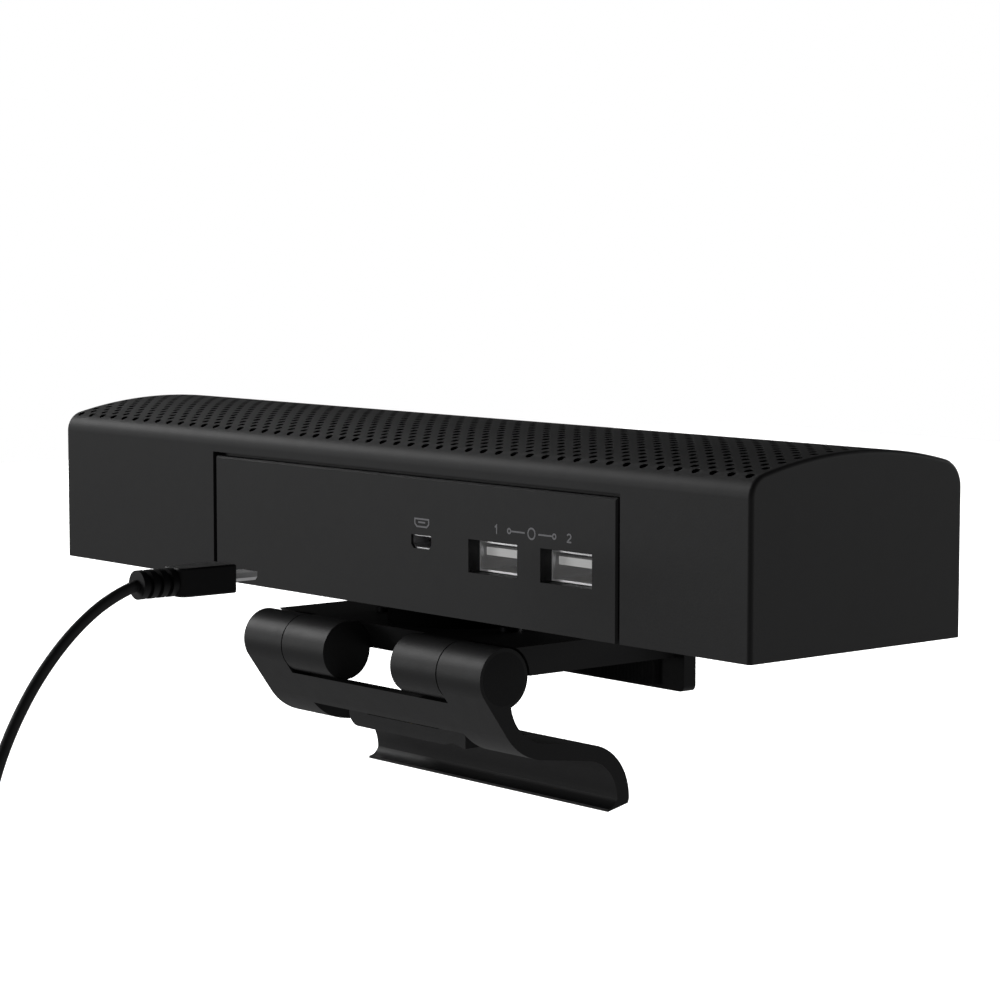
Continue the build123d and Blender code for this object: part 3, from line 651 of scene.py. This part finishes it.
# ------------------------------------------------------------------ port contacts and microphone ports
def bars(name, boxes, mat, body):
    """Small bevelled bars, each given as (x0, x1, y0, y1, z0, z1) in mm, in one mesh."""
    corners = [(0, 2, 4), (1, 2, 4), (1, 3, 4), (0, 3, 4), (0, 2, 5), (1, 2, 5), (1, 3, 5), (0, 3, 5)]
    sides = [(0, 3, 2, 1), (4, 5, 6, 7), (0, 1, 5, 4), (1, 2, 6, 5), (2, 3, 7, 6), (3, 0, 4, 7)]
    verts, faces = [], []
    for b in boxes:
        faces += [tuple(len(verts) + i for i in side) for side in sides]
        verts += [tuple(b[i] for i in corner) for corner in corners]
    ob = add_mesh(name, verts, faces, [mat], body, smooth=False)
    bevel = ob.modifiers.new("soft_edges", "BEVEL")
    bevel.width = 0.015 * MM
    bevel.segments = 2
    return ob


PORT_X = (-38.35, -57.9)
CONTACT_X, CONTACT_HALF = (-3.5, -1.0, 1.0, 3.5), 0.55
CONTACT_Y, CONTACT_Z = (31.5, 34.6), (22.57, 22.66)
for number, x in enumerate(PORT_X, 1):
    bars(f"usb_contacts_{number}", [(x + k - CONTACT_HALF, x + k + CONTACT_HALF, *CONTACT_Y, *CONTACT_Z)
                                    for k in CONTACT_X], M["gold"], "bar")


MIC_X, MIC_Z = 36.0, (20.6, 23.2, 25.8)
MIC_RINGS = ((0.95, -11.39), (0.9, -11.46), (0.58, -11.46), (0.5, -11.41), (0.5, -11.405))


def mic_ports():
    """Three small raised rings, each turned from (radius, y) in mm around an opening closed by a near-black
    sheet of painted shade.
    """
    verts, faces, mats = [], [], []
    turn = 24
    for z in MIC_Z:
        base = len(verts)
        for r, y in MIC_RINGS:
            verts += [(MIC_X + r * math.cos(2 * math.pi * k / turn), y,
                       z + r * math.sin(2 * math.pi * k / turn)) for k in range(turn)]
        last = len(MIC_RINGS) - 1
        for ring in range(last):
            for k in range(turn):
                m = (k + 1) % turn
                faces.append((base + ring * turn + k, base + ring * turn + m,
                              base + (ring + 1) * turn + m, base + (ring + 1) * turn + k))
                mats.append(0)
        faces.append(tuple(base + last * turn + k for k in range(turn)))
        mats.append(1)
    add_mesh("mic_ports", verts, faces, [M["slider"], M["shade_black"]], "bar", mats)


mic_ports()


# ------------------------------------------------------------------ floor, world and lights
FLOOR_HALF, FLOOR_Z = 2.2, -0.165


def floor():
    """Pale paper below the coil. It is seen, but neither lights the object nor shows in its gloss."""
    me = bpy.data.meshes.new("floor")
    s, z = FLOOR_HALF, FLOOR_Z
    me.from_pydata([(-s, -s, z), (s, -s, z), (s, s, z), (-s, s, z)], [], [(0, 1, 2, 3)])
    ob = bpy.data.objects.new("floor", me)
    bpy.context.scene.collection.objects.link(ob)
    mat, tree, b = new_mat("floor_paper")
    tree.links.new(ramp(tree, noise(tree, 40, 3.0), [(0.3, 0.87), (0.7, 0.9)]), b.inputs["Base Color"])
    b.inputs["Roughness"].default_value = 0.9
    b.inputs["Specular IOR Level"].default_value = 0.1
    me.materials.append(mat)
    ob.visible_diffuse = False
    ob.visible_glossy = False


floor()
scene = bpy.context.scene
scene.view_settings.view_transform = "Standard"
scene.view_settings.look = "None"

# The camera sees a white world. The object gets little light from above and more from below.
WORLD_TOP, WORLD_BELOW = 0.015, 0.4
world = bpy.data.worlds.new("studio")
scene.world = world
world.use_nodes = True
wt = world.node_tree
back = wt.nodes["Background"]
rays = wt.nodes.new("ShaderNodeLightPath")
facing = wt.nodes.new("ShaderNodeTexCoord")
split = wt.nodes.new("ShaderNodeSeparateXYZ")
bounce = wt.nodes.new("ShaderNodeMapRange")
bounce.inputs["From Min"].default_value = 0.1
bounce.inputs["From Max"].default_value = -0.9
bounce.inputs["To Min"].default_value = WORLD_TOP
bounce.inputs["To Max"].default_value = WORLD_BELOW
seen = wt.nodes.new("ShaderNodeMix")
seen.inputs["B"].default_value = 1.0
wt.links.new(facing.outputs["Generated"], split.inputs["Vector"])
wt.links.new(split.outputs["Z"], bounce.inputs["Value"])
wt.links.new(bounce.outputs["Result"], seen.inputs["A"])
wt.links.new(rays.outputs["Is Camera Ray"], seen.inputs["Factor"])
wt.links.new(seen.outputs["Result"], back.inputs["Strength"])
back.inputs["Color"].default_value = (1, 1, 1, 1)


def lit_group(name, objects):
    group = bpy.data.collections.new(name)
    for ob in objects:
        group.objects.link(ob)
    return group


def area(name, place, target, size, power, only=None):
    """A white soft box in metres and watts. With only, it lights just that collection."""
    data = bpy.data.lights.new(name, "AREA")
    data.shape = "RECTANGLE"
    data.size, data.size_y = size
    data.energy = power
    ob = bpy.data.objects.new(name, data)
    scene.collection.objects.link(ob)
    ob.location = place
    ob.rotation_euler = (Vector(target) - Vector(place)).to_track_quat("-Z", "Y").to_euler()
    if only:
        ob.light_linking.receiver_collection = only


UNDER_BAR = ("clamp_plate", "plate_pad", "front_lip", "lip_pad", "plate_screws", "clamp_leg",
             "leg_cap_left", "leg_cap_right", "hinge_pin_left", "hinge_pin_right", "foot_pad",
             "tripod_block", "thread_insert", "plug_body", "plug_shell", "strain_relief")
PORT_METAL = ("usb_shell_1", "usb_shell_2", "usb_tongue_1", "usb_tongue_2", "plug_shell")
objects = bpy.data.objects
paper = lit_group("lit_floor", [objects["floor"]])
over = lit_group("lit_bar", [ob for ob in scene.objects if ob.type in {"MESH", "CURVE"}
                             and ob.name != "floor" and ob.name not in UNDER_BAR])
ports = lit_group("lit_ports", [objects[name] for name in PORT_METAL])

area("floor_light", (0, 0, 4.0), (0, 0, 0), (8, 8), 700, only=paper)
area("port_fill", (-0.5, 2.2, 0.5), (-0.03, 0.04, 0.02), (1.2, 0.8), 14, only=ports)
area("left_box", (1.9, 2.1, 0.20), (0, 0.02, 0.02), (1.0, 1.0), 12.5)
area("right_box", (-1.7, -1.15, 0.3), (-0.05, 0.0, 0.02), (1.0, 1.0), 4.6, only=over)
area("upper_strip", (3.35, 1.25, 1.75), (0, 0.03, 0.03), (2.4, 0.6), 48)
area("dome_strip", (2.6, -1.1, 1.7), (0, 0.03, 0.03), (1.0, 0.6), 2.8)
area("front_box", (0.1, -2.4, 0.36), (0, 0, 0.02), (2.2, 0.5), 15)
